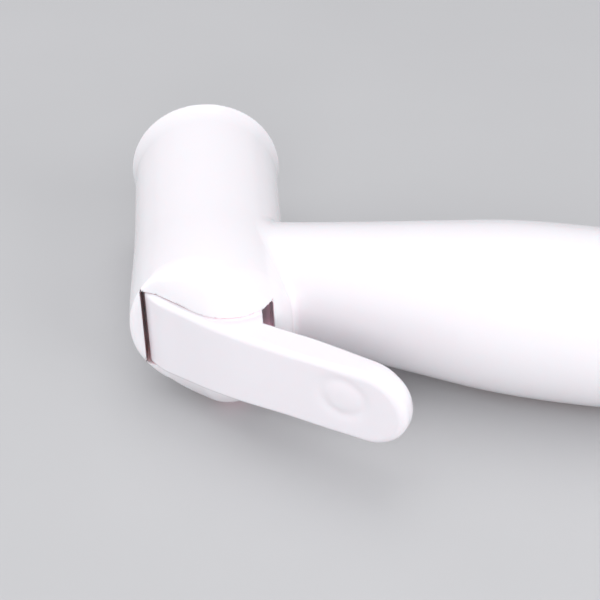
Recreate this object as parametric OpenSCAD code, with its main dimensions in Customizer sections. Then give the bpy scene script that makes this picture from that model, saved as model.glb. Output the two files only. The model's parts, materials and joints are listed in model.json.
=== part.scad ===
// Hand-held bidet spray with a thumb lever.
// Row frame: +X runs along the grip from the head to the hose thread, the origin is the centre of
// the thread's free end, and Z is square to the plane that holds the grip axis and the head axis.
// The spray leaves the head roughly along +Y.

/* [Head] */
// Outer diameter of the lip around the spray face
lip_d = 33; // [32:0.5:34]
// Distance from the grip axis to the lip's front edge, along the head axis
face_y = 41.5; // [41:0.5:43]
// Distance from the grip axis to the apex of the rounded lower end
apex_y = 29.4; // [28.6:0.1:29.8]
// Lean of the grip away from square to the head axis, in degrees
grip_lean = 17.3; // [15:0.1:20]
// Number of spray hole rings in the face plate
hole_rings = 3; // [2:1:3]
// Diameter of one spray hole
spray_hole_d = 1.1; // [0.9:0.1:1.3]

/* [Grip] */
// Distance along the grip from the head axis to the thread's free end
grip_reach = 143; // [138:1:150]
// Length of the hose thread that stands out of the collar
thread_len = 12; // [11:0.5:13]
// Outside diameter of the hose thread
thread_d = 20.96; // [20.8:0.02:21]
// Extra radius of the grip's swelling
swell = 0; // [-0.5:0.1:0.5]

/* [Lever] */
// Width of the lever at its hinge end
lever_w = 17.5; // [17:0.1:17.6]
// Width of the lever at its tip, which is also the tip's diameter
tip_w = 15.2; // [14.4:0.1:16]
// Length of the lever from its hinge end to the rounded tip
lever_len = 55.4; // [52:0.2:57]
// Slope of the lever's face below the line square to the head axis, in degrees
lever_slope = 32; // [31:0.1:33]
// Depth of the lever's side walls
lever_depth = 6; // [5.6:0.1:6.4]
// Depth of the ring groove around the thumb spot
dish_depth = 0.3; // [0.2:0.05:0.4]

/* [Hidden] */
$fn = 96;

white = "#f3f3f6";
ivory = "#e9e9ea";
rubber = "#2b2b2d";
steel = "#b9bcc0";
blue = "#dfe4ea";

eps = 0.01;         // overlap of neighbouring cuts
lap = 0.1;          // overlap of joined rods
fit = 0.05;         // radial play between nested parts
spring_gap = 0.02;  // play at each end of a spring

// ---------- frames and shared shapes ----------
// Head frame: origin where the head axis meets the grip axis, +Y towards the spray face.
module in_head() { translate([-grip_reach, 0, 0]) rotate([0, 0, grip_lean]) children(); }
// Child's z runs along the head axis, starting at y
module along_y(y) { translate([0, y, 0]) rotate([-90, 0, 0]) children(); }
// Child's z runs along the grip, starting at a distance from the head axis
module along_grip(start = 0) {
  translate([-grip_reach, 0, 0]) rotate([0, 90, 0]) translate([0, 0, start]) children();
}
// Coaxial rods; each step is [start, end, radius]
module head_rods(steps) {
  for (s = steps) along_y(s[0]) cylinder(h = s[1] - s[0], r = s[2]);
}
module grip_rods(steps) {
  for (s = steps) along_grip(s[0]) cylinder(h = s[1] - s[0], r = s[2]);
}
// Circles of holes from start to end, on a circle of ring_r
module head_holes(count, ring_r, start, end, r, turn = 0) {
  for (i = [0 : count - 1]) rotate([0, 360 * i / count + turn, 0]) translate([ring_r, 0, 0])
    along_y(start) cylinder(h = end - start, r = r, $fn = 24);
}
module grip_holes(count, ring_r, start, end, r, facets) {
  for (i = [0 : count - 1]) along_grip() rotate([0, 0, 360 * i / count])
    translate([ring_r, 0, start]) cylinder(h = end - start, r = r, $fn = facets);
}
module groove(width, inner_r, outer_r) {
  rotate_extrude()
    polygon([[inner_r, 0], [outer_r, 0], [outer_r, width], [inner_r, width]]);
}
module o_ring(mid_r, cord_r) {
  rotate_extrude() translate([mid_r, 0]) circle(r = cord_r, $fn = 32);
}
// Wire coil along its own z, closed by flat caps
module coil(coil_r, wire_r, height, turns) {
  steps = 22 * turns;
  sides = 8;
  points = [for (i = [0 : steps]) for (j = [0 : sides - 1])
    let (turn = 360 * turns * i / steps, side = 360 * j / sides,
      reach = coil_r + wire_r * cos(side),
      z = wire_r + (height - 2 * wire_r) * i / steps)
    [reach * cos(turn), reach * sin(turn), z + wire_r * sin(side)]];
  faces = concat(
    [for (i = [0 : steps - 1]) for (j = [0 : sides - 1])
      let (k = (j + 1) % sides, near = i * sides, far = near + sides)
      [near + j, near + k, far + k, far + j]],
    [[for (j = [0 : sides - 1]) sides - 1 - j]],
    [[for (j = [0 : sides - 1]) steps * sides + j]]);
  polyhedron(points = points, faces = faces, convexity = 8);
}

// ---------- places along the head axis (y) and radii ----------
slot_top = -9.5;     // ceiling of the lever slot
sleeve_y = -8;       // start of the cartridge bore
flange_y = 8;        // start of the sleeve flange and the nut bore
nut_y = 10;
cap_y = 14;          // outer end of the nut, start of the spring cap
chamber_y = 16;      // end of the cartridge
diffuser_y = 22;
plate_y = 36.5;      // floor of the face recess
screw_seat_y = 39.3;
bore_r = 9;
nut_bore_r = 10.5;
diffuser_bore_r = 12.8;
recess_r = 14;
neck_r = 8.3;        // sleeve neck inside the nut
screw_r = 1.4;

// Lever slot and hinge, in the head frame
slot_x = [-13.6, 12.1];
slot_half_w = 8.9;
hinge = [-9.3, -14];
pin_r = 1.5;
pin_z = [-12.4, 10.4];

// ---------- places along the grip, from the head axis ----------
collar_end = grip_reach - thread_len;
socket_start = 19;              // tube socket beside the head
socket_r = 5;
tube_end = collar_end - 26;
valve_start = collar_end - 19;  // check valve bore in the fitting
flange_start = collar_end - 13; // widest part of the fitting
collar_start = collar_end - 7;
rim_start = collar_end - 5;     // collar's full-width rim
strainer_seat = grip_reach - 10;
collar_r = 14.2;
mouth_r = 12.2;                 // bore of the grip's open end
fitting_neck_r = 11;            // fitting inside the collar

// ---------- body ----------
// [distance from the head axis, radius]
grip_stations = [
  [0, 11.3], [12, 11.7], [30, 13.6], [45, 15.45 + swell / 2], [60, 17.15 + swell],
  [75, 17.6 + swell], [90, 17.1 + swell], [105, 15.9 + swell / 2], [118, 14.7], [126, collar_r]];
last_station = len(grip_stations) - 1;
// Change of radius per unit length at station i
function station_slope(i) = i == 0 ? 0
  : let (step = grip_stations[min(i + 1, last_station)] - grip_stations[i - 1])
    step[1] / step[0];
// Hermite curve from a to b with end slopes slope_a and slope_b over a length; u runs 0 to 1
function hermite(a, b, slope_a, slope_b, length, u) =
  (2 * pow(u, 3) - 3 * u * u + 1) * a + (pow(u, 3) - 2 * u * u + u) * length * slope_a
  + (3 * u * u - 2 * pow(u, 3)) * b + (pow(u, 3) - u * u) * length * slope_b;
grip_curve = [for (i = [0 : last_station - 1]) for (k = [0 : 3])
  let (a = grip_stations[i], b = grip_stations[i + 1], length = b[0] - a[0], u = k / 4)
  [hermite(a[1], b[1], station_slope(i), station_slope(i + 1), length, u), a[0] + length * u]];

// [radius, height above head_base]
head_base = -32;
lip_top = face_y - head_base;
head_profile = [
  [0, 0], [15.7, 0], [16.1, 10], [16.35, 20], [16.2, 26], [15.85, 35], [15.65, 46], [15.7, 60],
  [15.8, 67], [15.95, 70], [16.2, 71.9], [lip_d / 2 - 0.1, 72.6], [lip_d / 2, 72.9],
  [lip_d / 2, lip_top - 0.3], [lip_d / 2 - 0.3, lip_top], [0, lip_top]];

// Rounded lower end: an arc between two slopes
apex_x = 3.2;
apex_r = 10.3;
apex_centre_y = apex_r - apex_y;
hinge_slope = 44;    // slope on the -X side, in degrees
grip_slope = 46;     // slope on the +X side, in degrees
foot_y = -17.9;      // square foot of the wall beside the hinge
block_half_z = 20;
crown_r = 25;
crown_len = 140;
function end_arc(angle) = [apex_x + apex_r * sin(angle), apex_centre_y - apex_r * cos(angle)];
arc_start = end_arc(-hinge_slope);
arc_end = end_arc(grip_slope);
end_outline = concat(
  [[-30, foot_y], [arc_start[0] - (foot_y - arc_start[1]) / tan(hinge_slope), foot_y]],
  [for (i = [0 : 16]) end_arc(-hinge_slope + (hinge_slope + grip_slope) * i / 16)],
  [[30, arc_end[1] + (30 - arc_end[0]) * tan(grip_slope)], [30, 60], [-30, 60]]);

module head_outer() {
  intersection() {
    along_y(head_base) rotate_extrude() polygon(head_profile);
    translate([0, 0, -block_half_z]) linear_extrude(height = 2 * block_half_z)
      polygon(end_outline);
    // the end is crowned from side to side, along both slopes and across the apex
    for (angle = [-hinge_slope, 1, grip_slope])
      translate([apex_x, apex_centre_y, 0]) rotate([0, 0, angle]) union() {
        translate([-crown_len / 2, crown_r - apex_r - 0.6, 0]) rotate([0, 90, 0])
          cylinder(h = crown_len, r = crown_r, $fn = 180);
        translate([-crown_len / 2, crown_r - apex_r - 1, -block_half_z])
          cube([crown_len, 90, 2 * block_half_z]);
      }
  }
}
module grip_outer() {
  along_grip() rotate_extrude()
    polygon(concat([[0, 0]], grip_curve, [[collar_r, rim_start], [0, rim_start]]));
}
module head_cuts() {
  // lever slot, open at the rounded end
  translate([slot_x[0], -45, -slot_half_w])
    cube([slot_x[1] - slot_x[0], 45 + slot_top, 2 * slot_half_w]);
  // hinge pin hole, open on the -Z side only
  translate([hinge[0], hinge[1], -20]) cylinder(h = 20 + pin_z[1] + 0.1, r = pin_r, $fn = 48);
  // stem passage, cartridge bore, nut bore, chamber, diffuser bore and face recess
  head_rods([
    [slot_top - 1, sleeve_y + lap, 3.2],
    [sleeve_y, flange_y, bore_r],
    [flange_y - eps, chamber_y, nut_bore_r],
    [chamber_y - eps, diffuser_y, 11.8],
    [diffuser_y - eps, plate_y, diffuser_bore_r],
    [plate_y - eps, face_y + 1, recess_r]]);
}
module body_shell() color(white) difference() {
  union() {
    in_head() head_outer();
    grip_outer();
  }
  in_head() head_cuts();
  // water port, tube socket and hollow of the grip
  grip_rods([[7.5, socket_start + lap, 2.6], [socket_start, 30 + lap, socket_r]]);
  along_grip() rotate_extrude() polygon([
    [0, 30], [10.2, 30], [11.9, 45], [11.9, flange_start],
    [mouth_r, flange_start], [mouth_r, collar_end], [0, collar_end]]);
}

// ---------- spray face ----------
face_groove_y = 38.6;
face_groove_w = 1.4;
module spray_plate() color(white) in_head() difference() {
  head_rods([[38, 40.5, recess_r - 2 * fit], [plate_y + fit, 38 + lap, recess_r - 2 * fit]]);
  head_rods([[36, 38, 12.6], [37, 41, 1.6], [screw_seat_y, 41, 2.9]]);
  along_y(face_groove_y) groove(face_groove_w, 12.5, 14.5);
  for (k = [1 : hole_rings])
    head_holes(4 + 4 * k, 2.2 + 2.7 * k, 37, 41, spray_hole_d / 2, turn = 7 * k);
}
module face_o_ring() color(rubber) in_head()
  along_y(face_groove_y + face_groove_w / 2) o_ring(13.23, 0.7);
module face_screw() color(steel) in_head() difference() {
  head_rods([[screw_seat_y + fit, 40.6, 2.7], [28, screw_seat_y + lap, screw_r]]);
  // cross slot
  for (a = [0, 90]) rotate([0, a, 0]) translate([-1.4, 40, -0.25]) cube([2.8, 1, 0.5]);
}
module flow_diffuser() color(ivory) in_head() difference() {
  head_rods([[diffuser_y, 24.5, diffuser_bore_r - fit], [24.5 - lap, 37.9, 3]]);
  head_rods([[27, 38, screw_r]]);
  head_holes(10, 8.2, 21, 25, 1.3);
}

// ---------- valve cartridge ----------
sleeve_grooves = [-7.4, 1.2];
sleeve_groove_w = 1.6;
stem_grooves = [-7.6, -5.9];
stem_groove_w = 1.1;
guide_r = 4;            // sleeve bore around the stem
spring_bore_r = 6.6;    // sleeve bore around the spring
seat_y = 1.5;
disc_y = [2.7, 4.2];    // stem disc between seal and spring
disc_r = 5.4;
stem_r = 2.2;
stem_tip_y = -15.3;
stem_tip_r = 1.98;
button_y = [-13.6, -11.6];
button_r = 4;

module valve_sleeve() color(blue) in_head() difference() {
  head_rods([
    [sleeve_y, flange_y, bore_r - fit],
    [flange_y, nut_y, nut_bore_r - 2 * fit],
    [nut_y - lap, chamber_y, neck_r]]);
  for (y = sleeve_grooves) along_y(y) groove(sleeve_groove_w, 7.3, 10);
  // wide waist with the side windows
  along_y(-4.6) groove(5.2, 6.9, 10);
  for (i = [0 : 2])
    rotate([0, 60 * i + 20, 0]) translate([-8, -2.3, -1.1]) cube([16, 2.4, 2.2]);
  head_rods([[-9, seat_y + lap, guide_r], [seat_y, 17, spring_bore_r]]);
}
module sleeve_o_rings() color(rubber) in_head()
  for (y = sleeve_grooves) along_y(y + sleeve_groove_w / 2) o_ring(8.14, 0.78);
module valve_stem() color(steel) in_head() difference() {
  head_rods([
    [stem_tip_y, button_y[1] + lap, stem_tip_r],
    [button_y[1], sleeve_y + lap, 2.9],
    [sleeve_y, -4.4, guide_r - fit],
    [-4.5, disc_y[0] + lap, stem_r],
    [disc_y[0], disc_y[1], disc_r],
    [disc_y[1] - lap, 8, 2.6]]);
  for (y = stem_grooves) along_y(y) groove(stem_groove_w, 3.1, 4.5);
}
module stem_o_rings() color(rubber) in_head()
  for (y = stem_grooves) along_y(y + stem_groove_w / 2) o_ring(3.55, 0.43);
module seat_seal() color(rubber) in_head() difference() {
  head_rods([[seat_y, disc_y[0], disc_r]]);
  head_rods([[1, 3, stem_r]]);
}
module stem_button() color(ivory) in_head() difference() {
  union() {
    translate([0, button_y[0], 0]) sphere(r = button_r);
    head_rods([[button_y[0], button_y[1], button_r]]);
  }
  head_rods([[button_y[1], -6, 5], [stem_tip_y, -11, stem_tip_r]]);
}
module return_spring() color(steel) in_head() along_y(disc_y[1] + spring_gap)
  coil(coil_r = 3.6, wire_r = 0.42, height = cap_y - disc_y[1] - 2 * spring_gap, turns = 6);
module spring_cap() color(ivory) in_head() difference() {
  head_rods([[cap_y, chamber_y, spring_bore_r - fit]]);
  head_rods([[13, 17, 2.8]]);
  head_holes(6, 4.7, 13, 17, 1.1);
}
module cartridge_nut() color(ivory) in_head() difference() {
  head_rods([[nut_y, cap_y, nut_bore_r - fit]]);
  head_rods([[9, 15, neck_r + 2 * fit]]);
  // rim notches
  for (i = [0 : 3]) rotate([0, 90 * i + 45, 0]) translate([8, 12.5, -1]) cube([4, 3, 2]);
}

// ---------- lever ----------
face_origin = [-1.6, -29.24];                        // point on the lever's face, head frame
lever_dir = [cos(lever_slope), -sin(lever_slope)];   // along the lever, to its tip
into_head = [sin(lever_slope), cos(lever_slope)];    // square to the face
tip_along = lever_len - 13.1;
tip_centre = tip_along - tip_w / 2;
side_wall = 1.7;
face_wall = 1.9;
knuckle_r = 3.4;                                     // rounded hinge end
cheek_x = 9.8;                                       // where the deep cheek begins
pad_y = -17.75;                                      // top of the pad under the stem button
function on_lever(along, depth) = face_origin + along * lever_dir + depth * into_head;
function half_width(along) = tip_w / 2
  + (lever_w - tip_w) / 2 * pow(max(0, min(1, (30 - along) / 42)), 1.5);
module at_face() {
  translate([face_origin[0], face_origin[1], 0]) rotate([0, 0, -lever_slope]) children();
}
// Side outline [x, y]: bent hinge end, straight face, deep cheek inside the slot, knuckle
wall_edge = on_lever(0, lever_depth);
side_outline = concat(
  [[-12.75, foot_y], [-11.5, -19.7], [-9.6, -21.9], [-6.6, -24.4], [-3, -27.4], [2.4, -31.6]],
  [on_lever(8, 0), on_lever(tip_along + 4, 0), on_lever(tip_along + 4, lever_depth)],
  [[cheek_x, wall_edge[1] - (cheek_x - wall_edge[0]) * tan(lever_slope)], [9.6, -18.2]],
  [for (i = [0 : 10]) let (angle = 66 + 114 * i / 10)
    hinge + knuckle_r * [cos(angle), sin(angle)]]);
hollow_outline = [
  [-5.4, -23.2], [-1, -27], on_lever(5, face_wall), on_lever(tip_along + 4, face_wall),
  on_lever(tip_along + 4, lever_depth + 4), on_lever(14.6, lever_depth + 4),
  [14, -10], [-5.4, -6]];
// A side outline trimmed by the tapering, round-tipped plan outline, inset all round
module lever_bar(inset, outline) intersection() {
  translate([0, 0, -14]) linear_extrude(height = 28) polygon(outline);
  at_face() translate([0, -8, 0]) rotate([-90, 0, 0]) linear_extrude(height = 60)
    polygon(concat(
      [for (s = [-60, -12, 0, 12]) [s, inset - half_width(s)]],
      [for (i = [0 : 24]) let (angle = -90 + 180 * i / 24, r = tip_w / 2 - inset)
        [tip_centre + r * cos(angle), r * sin(angle)]],
      [for (s = [12, 0, -12, -60]) [s, half_width(s) - inset]]));
}
module lever() color(white) in_head() difference() {
  lever_bar(0, side_outline);
  // hollow behind the face, around the pad that pushes the stem button and a long rib
  difference() {
    lever_bar(side_wall, hollow_outline);
    translate([-3, -40, -4.5]) cube([6, pad_y + 40, 9]);
    at_face() translate([2, 1, -0.7]) cube([tip_centre + 3, 3.2, 1.4]);
  }
  // hinge bore
  translate([hinge[0], hinge[1], -10]) cylinder(h = 20, r = pin_r + fit, $fn = 48);
  // ring groove around the thumb spot
  at_face() translate([29.4, dish_depth - 2, 0]) rotate([90, 0, 0])
    rotate_extrude() translate([4.2, 0]) circle(r = 2);
}
module lever_pin() color(steel) in_head() translate([hinge[0], hinge[1], pin_z[0]])
  cylinder(h = pin_z[1] - pin_z[0], r = pin_r, $fn = 48);

// ---------- grip internals ----------
tube_grooves = [21, 24.5, collar_end - 29, collar_end - 32.5];
tube_groove_w = 1.3;
fitting_groove = collar_end - 11;
fitting_groove_w = 1.9;
housing_groove = collar_end - 15;
housing_groove_w = 1.2;
spring_floor = collar_end - 16.5;
poppet_start = collar_end - 4.5;   // poppet head
seal_start = collar_end - 2.8;
seal_end = collar_end - 2;
poppet_r = 4.2;
poppet_nose_r = 1.4;
housing_bore_r = 4.8;
strainer_r = 6.9;

module water_tube() color(ivory) difference() {
  grip_rods([[socket_start + 0.2, tube_end, 4.5]]);
  grip_rods([[socket_start, tube_end + 1, 2.9]]);
  for (x = tube_grooves) along_grip(x) groove(tube_groove_w, 3.8, 5);
}
module tube_o_rings() color(rubber)
  for (x = tube_grooves) along_grip(x + tube_groove_w / 2) o_ring(4.4, 0.58);
module inlet_fitting() color(white) difference() {
  grip_rods([
    [collar_end - 35, valve_start + lap, 7.5],
    [valve_start, flange_start + lap, 9.4],
    [flange_start, collar_start, 12.1],
    [collar_start - lap, collar_end, fitting_neck_r],
    [collar_end - lap, grip_reach, thread_d / 2]]);
  grip_rods([
    [collar_end - 36, tube_end + lap, socket_r],
    [tube_end, valve_start + lap, 3],
    [valve_start, strainer_seat + lap, 6.5],
    [strainer_seat, grip_reach + 1, 7]]);
  along_grip(fitting_groove) groove(fitting_groove_w, 10.5, 13);
}
module fitting_o_ring() color(rubber)
  along_grip(fitting_groove + fitting_groove_w / 2) o_ring(11.33, 0.8);
module end_collar() color(white) along_grip() rotate_extrude() polygon([
  [fitting_neck_r + fit, collar_start], [mouth_r - fit, collar_start],
  [mouth_r - fit, rim_start], [collar_r, rim_start], [14.15, collar_end - 2],
  [13.8, collar_end - 0.6], [13.1, collar_end], [fitting_neck_r + fit, collar_end]]);
module check_valve_housing() color(blue) difference() {
  grip_rods([
    [collar_end - 18.5, strainer_seat, 6.42],
    [strainer_seat, strainer_seat + 1.5, strainer_r]]);
  grip_rods([
    [spring_floor, seal_end, housing_bore_r],
    [seal_end - lap, collar_end + lap, 3.4],
    [collar_end, grip_reach, housing_bore_r],
    [valve_start, collar_end - 16, 1.26]]);
  grip_holes(5, 3.1, valve_start, collar_end - 16, 1, facets = 24);
  along_grip(housing_groove) groove(housing_groove_w, 5.55, 7);
}
module housing_o_ring() color(rubber)
  along_grip(housing_groove + housing_groove_w / 2) o_ring(6.02, 0.45);
module check_poppet() color(ivory) grip_rods([
  [collar_end - 17.5, poppet_start + lap, 1.2],
  [poppet_start, seal_start, poppet_r],
  [seal_start - lap, collar_end - 1.4, poppet_nose_r]]);
module poppet_seal() color(rubber) difference() {
  grip_rods([[seal_start, seal_end, poppet_r]]);
  grip_rods([[collar_end - 3, collar_end - 1, poppet_nose_r]]);
}
module check_spring() color(steel) along_grip(spring_floor + spring_gap)
  coil(coil_r = 2.5, wire_r = 0.28, height = poppet_start - spring_floor - 2 * spring_gap,
    turns = 7);
module inlet_strainer() color(steel) difference() {
  grip_rods([[grip_reach - 8.45, grip_reach - 7.65, strainer_r]]);
  for (k = [1 : 3])
    grip_holes(6 * k, 1.85 * k, grip_reach - 9, grip_reach - 7, 0.6, facets = 16);
}

body_shell();
spray_plate();
face_o_ring();
face_screw();
flow_diffuser();
cartridge_nut();
valve_sleeve();
sleeve_o_rings();
valve_stem();
stem_o_rings();
seat_seal();
stem_button();
return_spring();
spring_cap();
lever();
lever_pin();
water_tube();
tube_o_rings();
inlet_fitting();
fitting_o_ring();
end_collar();
check_valve_housing();
housing_o_ring();
check_poppet();
poppet_seal();
check_spring();
inlet_strainer();
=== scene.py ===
"""Hand spray with a round head, a thumb lever at the head's end and a threaded grip.

Row frame (metres, +Z up): the grip lies along X and its threaded end is at the origin.
Grip frame (mm): the row frame's axes, with the origin where the head's axis meets the grip's.
Head frame (mm): the grip frame turned about Z by LEAN. The head's axis is y, the spray face
is at +y, the lever's slot opens at -y, and the grip leaves towards +x.
"""
import bpy
import json
import math
import numpy as np
from mathutils import Matrix, Vector


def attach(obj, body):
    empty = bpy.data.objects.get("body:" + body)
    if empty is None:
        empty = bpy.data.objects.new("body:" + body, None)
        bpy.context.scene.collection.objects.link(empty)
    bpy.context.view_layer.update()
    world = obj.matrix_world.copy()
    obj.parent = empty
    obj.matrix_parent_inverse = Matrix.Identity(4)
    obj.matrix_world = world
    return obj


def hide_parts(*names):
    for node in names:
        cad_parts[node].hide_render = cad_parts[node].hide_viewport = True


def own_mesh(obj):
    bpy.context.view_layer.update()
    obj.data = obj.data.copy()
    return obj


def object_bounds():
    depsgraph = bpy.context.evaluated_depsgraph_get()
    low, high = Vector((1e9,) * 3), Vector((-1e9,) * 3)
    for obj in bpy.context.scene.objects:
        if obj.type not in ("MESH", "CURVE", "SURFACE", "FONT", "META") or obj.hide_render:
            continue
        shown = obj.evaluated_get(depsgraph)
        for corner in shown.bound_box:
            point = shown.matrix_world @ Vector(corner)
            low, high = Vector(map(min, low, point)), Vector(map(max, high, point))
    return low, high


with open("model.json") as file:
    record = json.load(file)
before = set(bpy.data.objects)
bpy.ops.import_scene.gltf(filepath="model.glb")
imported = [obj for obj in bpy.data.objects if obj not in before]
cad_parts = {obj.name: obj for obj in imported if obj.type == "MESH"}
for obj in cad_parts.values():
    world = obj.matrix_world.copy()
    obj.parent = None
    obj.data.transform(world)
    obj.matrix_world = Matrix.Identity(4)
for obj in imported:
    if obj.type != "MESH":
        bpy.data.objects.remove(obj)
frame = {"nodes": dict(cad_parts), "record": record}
CAD_BOX = [[float(c) for c in corner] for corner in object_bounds()]

GRIP_LENGTH = 143.0             # head's axis to the thread's end, along the grip
LEAN = math.radians(17.3)
COS_LEAN, SIN_LEAN = math.cos(LEAN), math.sin(LEAN)
GRID_SCALE = 1.0


def turn_head(vectors):
    """vectors along the head's axes -> along the grip's and the row's axes"""
    out = np.empty_like(vectors)
    out[:, 0] = vectors[:, 0] * COS_LEAN - vectors[:, 1] * SIN_LEAN
    out[:, 1] = vectors[:, 0] * SIN_LEAN + vectors[:, 1] * COS_LEAN
    out[:, 2] = vectors[:, 2]
    return out


def grip_to_row(points):
    """grip frame in mm -> row frame in metres"""
    out = np.array(points, dtype=np.float64)
    out[:, 0] -= GRIP_LENGTH
    return out * 1e-3


def head_to_row(points):
    """head frame in mm -> row frame in metres"""
    return grip_to_row(turn_head(points))


# ------------------------------------------------------------------ distance fields
# A field gives the distance to a surface at each point, negative inside the solid.

def unit(value):
    return np.clip(value, 0, 1)


def ease(share):
    return share * share * (3 - 2 * share)


def smooth_profile(stations, radii):
    """smooth curve through (station, radius) -> dense stations, radii and slopes"""
    stations, radii = np.array(stations, float), np.array(radii, float)
    tangents = np.empty_like(radii)
    tangents[1:-1] = (radii[2:] - radii[:-2]) / (stations[2:] - stations[:-2])
    tangents[0] = (radii[1] - radii[0]) / (stations[1] - stations[0])
    tangents[-1] = (radii[-1] - radii[-2]) / (stations[-1] - stations[-2])
    dense = np.linspace(stations[0], stations[-1], 4000)
    i = np.clip(np.searchsorted(stations, dense, side="right") - 1, 0, len(stations) - 2)
    step = stations[i + 1] - stations[i]
    u = (dense - stations[i]) / step
    radius = ((2 * u**3 - 3 * u**2 + 1) * radii[i]
              + (u**3 - 2 * u**2 + u) * step * tangents[i]
              + (3 * u**2 - 2 * u**3) * radii[i + 1]
              + (u**3 - u**2) * step * tangents[i + 1])
    return dense, radius, np.gradient(radius, dense)


def profile_at(profile, along):
    """radius and slope of a smooth profile"""
    return np.interp(along, profile[0], profile[1]), np.interp(along, profile[0], profile[2])


def turned(rho, radius, slope):
    """near-true distance to a surface of revolution"""
    return (rho - radius) / np.sqrt(1 + slope * slope)


def both(first, second, roll=0.0):
    """intersection with a rolled edge"""
    u, v = np.maximum(first + roll, 0), np.maximum(second + roll, 0)
    return np.minimum(np.maximum(first, second), -roll) + np.sqrt(u * u + v * v)


def either(first, second, fillet):
    """union with a fillet"""
    u, v = np.maximum(fillet - first, 0), np.maximum(fillet - second, 0)
    return np.maximum(np.minimum(first, second), fillet) - np.sqrt(u * u + v * v)


def cut(solid, tool, roll):
    return both(solid, -tool, roll)


def span(value, low, high):
    return np.abs(value - (low + high) / 2) - (high - low) / 2


def cylinder(rho, along, radius, low, high):
    return np.maximum(rho - radius, span(along, low, high))


def box_field(coords, low, high, roll=0.0):
    """box or rectangle, by the number of coordinates, with rounded corners"""
    gaps = np.stack([span(c, a, b) + roll for c, a, b in zip(coords, low, high)])
    outside = np.sqrt((np.maximum(gaps, 0) ** 2).sum(0))
    return outside + np.minimum(gaps.max(0), 0) - roll


def polygon_field(x, y, corners):
    """true distance to a closed polygon"""
    corners = np.array(corners, float)
    nearest = np.full(x.shape, 1e18)
    inside = np.zeros(x.shape, bool)
    for i in range(len(corners)):
        ax, ay = corners[i]
        bx, by = corners[(i + 1) % len(corners)]
        ex, ey = bx - ax, by - ay
        wx, wy = x - ax, y - ay
        u = unit((wx * ex + wy * ey) / (ex * ex + ey * ey + 1e-12))
        nearest = np.minimum(nearest, (wx - ex * u) ** 2 + (wy - ey * u) ** 2)
        inside ^= ((ay > y) != (by > y)) & (x < (bx - ax) * (y - ay) / (by - ay + 1e-30) + ax)
    nearest = np.sqrt(nearest)
    return np.where(inside, -nearest, nearest)


def nearest_hole(rho, angle, rings):
    """distance to the nearest hole centre; rings: (hole count, ring radius, ring's turn)"""
    gaps = []
    for count, ring_r, turn in rings:
        pitch = 2 * np.pi / count
        off = (angle - turn + pitch / 2) % pitch - pitch / 2
        gaps.append(np.hypot(rho * np.cos(off) - ring_r, rho * np.sin(off)))
    return np.minimum.reduce(gaps)


# ------------------------------------------------------------------ meshing a field
BLOCK = 8                       # the grid is worked through in blocks of 8 x 8 x 8 cells
CHUNK = 400                     # blocks evaluated at once
CORNERS = [(a, b, c) for a in (0, 1) for b in (0, 1) for c in (0, 1)]
CELL_EDGES = [(p, q) for p in CORNERS for q in CORNERS
              if p < q and sum(abs(a - b) for a, b in zip(p, q)) == 1]


def axis_steps(low, high, coarse, fine=None):
    """grid coordinates from low to high; fine = (from, to, step)"""
    out = [low]
    while out[-1] < high:
        step = coarse
        if fine is not None:
            gap = max(fine[0] - out[-1], out[-1] - fine[1], 0.0)
            step = min(coarse, fine[2] + 0.12 * gap)
        out.append(out[-1] + step)
    while (len(out) - 1) % BLOCK:
        out.append(out[-1] + coarse)
    return np.array(out)


def gradient(field, points):
    reach = 0.02
    out = np.empty_like(points)
    for m in range(3):
        step = np.zeros(3)
        step[m] = reach
        out[:, m] = (field(points + step) - field(points - step)) / (2 * reach)
    return out


def pull(field, points, times):
    """move points onto the surface"""
    for _ in range(times):
        slope = gradient(field, points)
        move = field(points) / np.maximum((slope * slope).sum(1), 0.25)
        points = points - slope * np.clip(move, -0.4, 0.4)[:, None]
    return points


def sample_blocks(field, grid):
    """blocks near the surface: first grid index, points and field values of each"""
    mids = [0.5 * (a[:-1:BLOCK] + a[BLOCK::BLOCK]) for a in grid]
    halves = [0.5 * (a[BLOCK::BLOCK] - a[:-1:BLOCK]) for a in grid]
    centres = np.stack([c.ravel() for c in np.meshgrid(*mids, indexing="ij")], 1)
    hx, hy, hz = np.meshgrid(*halves, indexing="ij")
    reach = np.sqrt(hx ** 2 + hy ** 2 + hz ** 2)
    near = np.abs(field(centres).reshape(reach.shape)) < 1.25 * reach + 0.5
    blocks = np.argwhere(near) * BLOCK
    index = blocks[:, :, None] + np.arange(BLOCK + 1)
    side = (BLOCK + 1,) * 3
    points = np.empty((len(blocks), *side, 3))
    points[..., 0] = grid[0][index[:, 0]][:, :, None, None]
    points[..., 1] = grid[1][index[:, 1]][:, None, :, None]
    points[..., 2] = grid[2][index[:, 2]][:, None, None, :]
    values = np.empty((len(blocks), *side))
    for k in range(0, len(blocks), CHUNK):
        values[k:k + CHUNK] = field(points[k:k + CHUNK].reshape(-1, 3)).reshape(-1, *side)
    values[values == 0] = 1e-9
    return blocks, points, values


def cell_vertices(points, values, inside):
    """one vertex in each cell the surface crosses, at the mean of its edge crossings"""
    count = np.zeros((len(values), BLOCK, BLOCK, BLOCK), np.int8)
    for a, b, c in CORNERS:
        count += inside[:, a:a + BLOCK, b:b + BLOCK, c:c + BLOCK]
    cells = np.argwhere((count > 0) & (count < 8))
    block, i, j, k = cells.T
    total = np.zeros((len(cells), 3))
    hits = np.zeros(len(cells))
    for p, q in CELL_EDGES:
        start = (block, i + p[0], j + p[1], k + p[2])
        end = (block, i + q[0], j + q[1], k + q[2])
        start_value, end_value = values[start], values[end]
        hit = (start_value < 0) != (end_value < 0)
        share = start_value[hit] / (start_value[hit] - end_value[hit])
        start_point = points[tuple(n[hit] for n in start)]
        end_point = points[tuple(n[hit] for n in end)]
        total[hit] += start_point + (end_point - start_point) * share[:, None]
        hits[hit] += 1
    return cells, total / hits[:, None]


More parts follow.
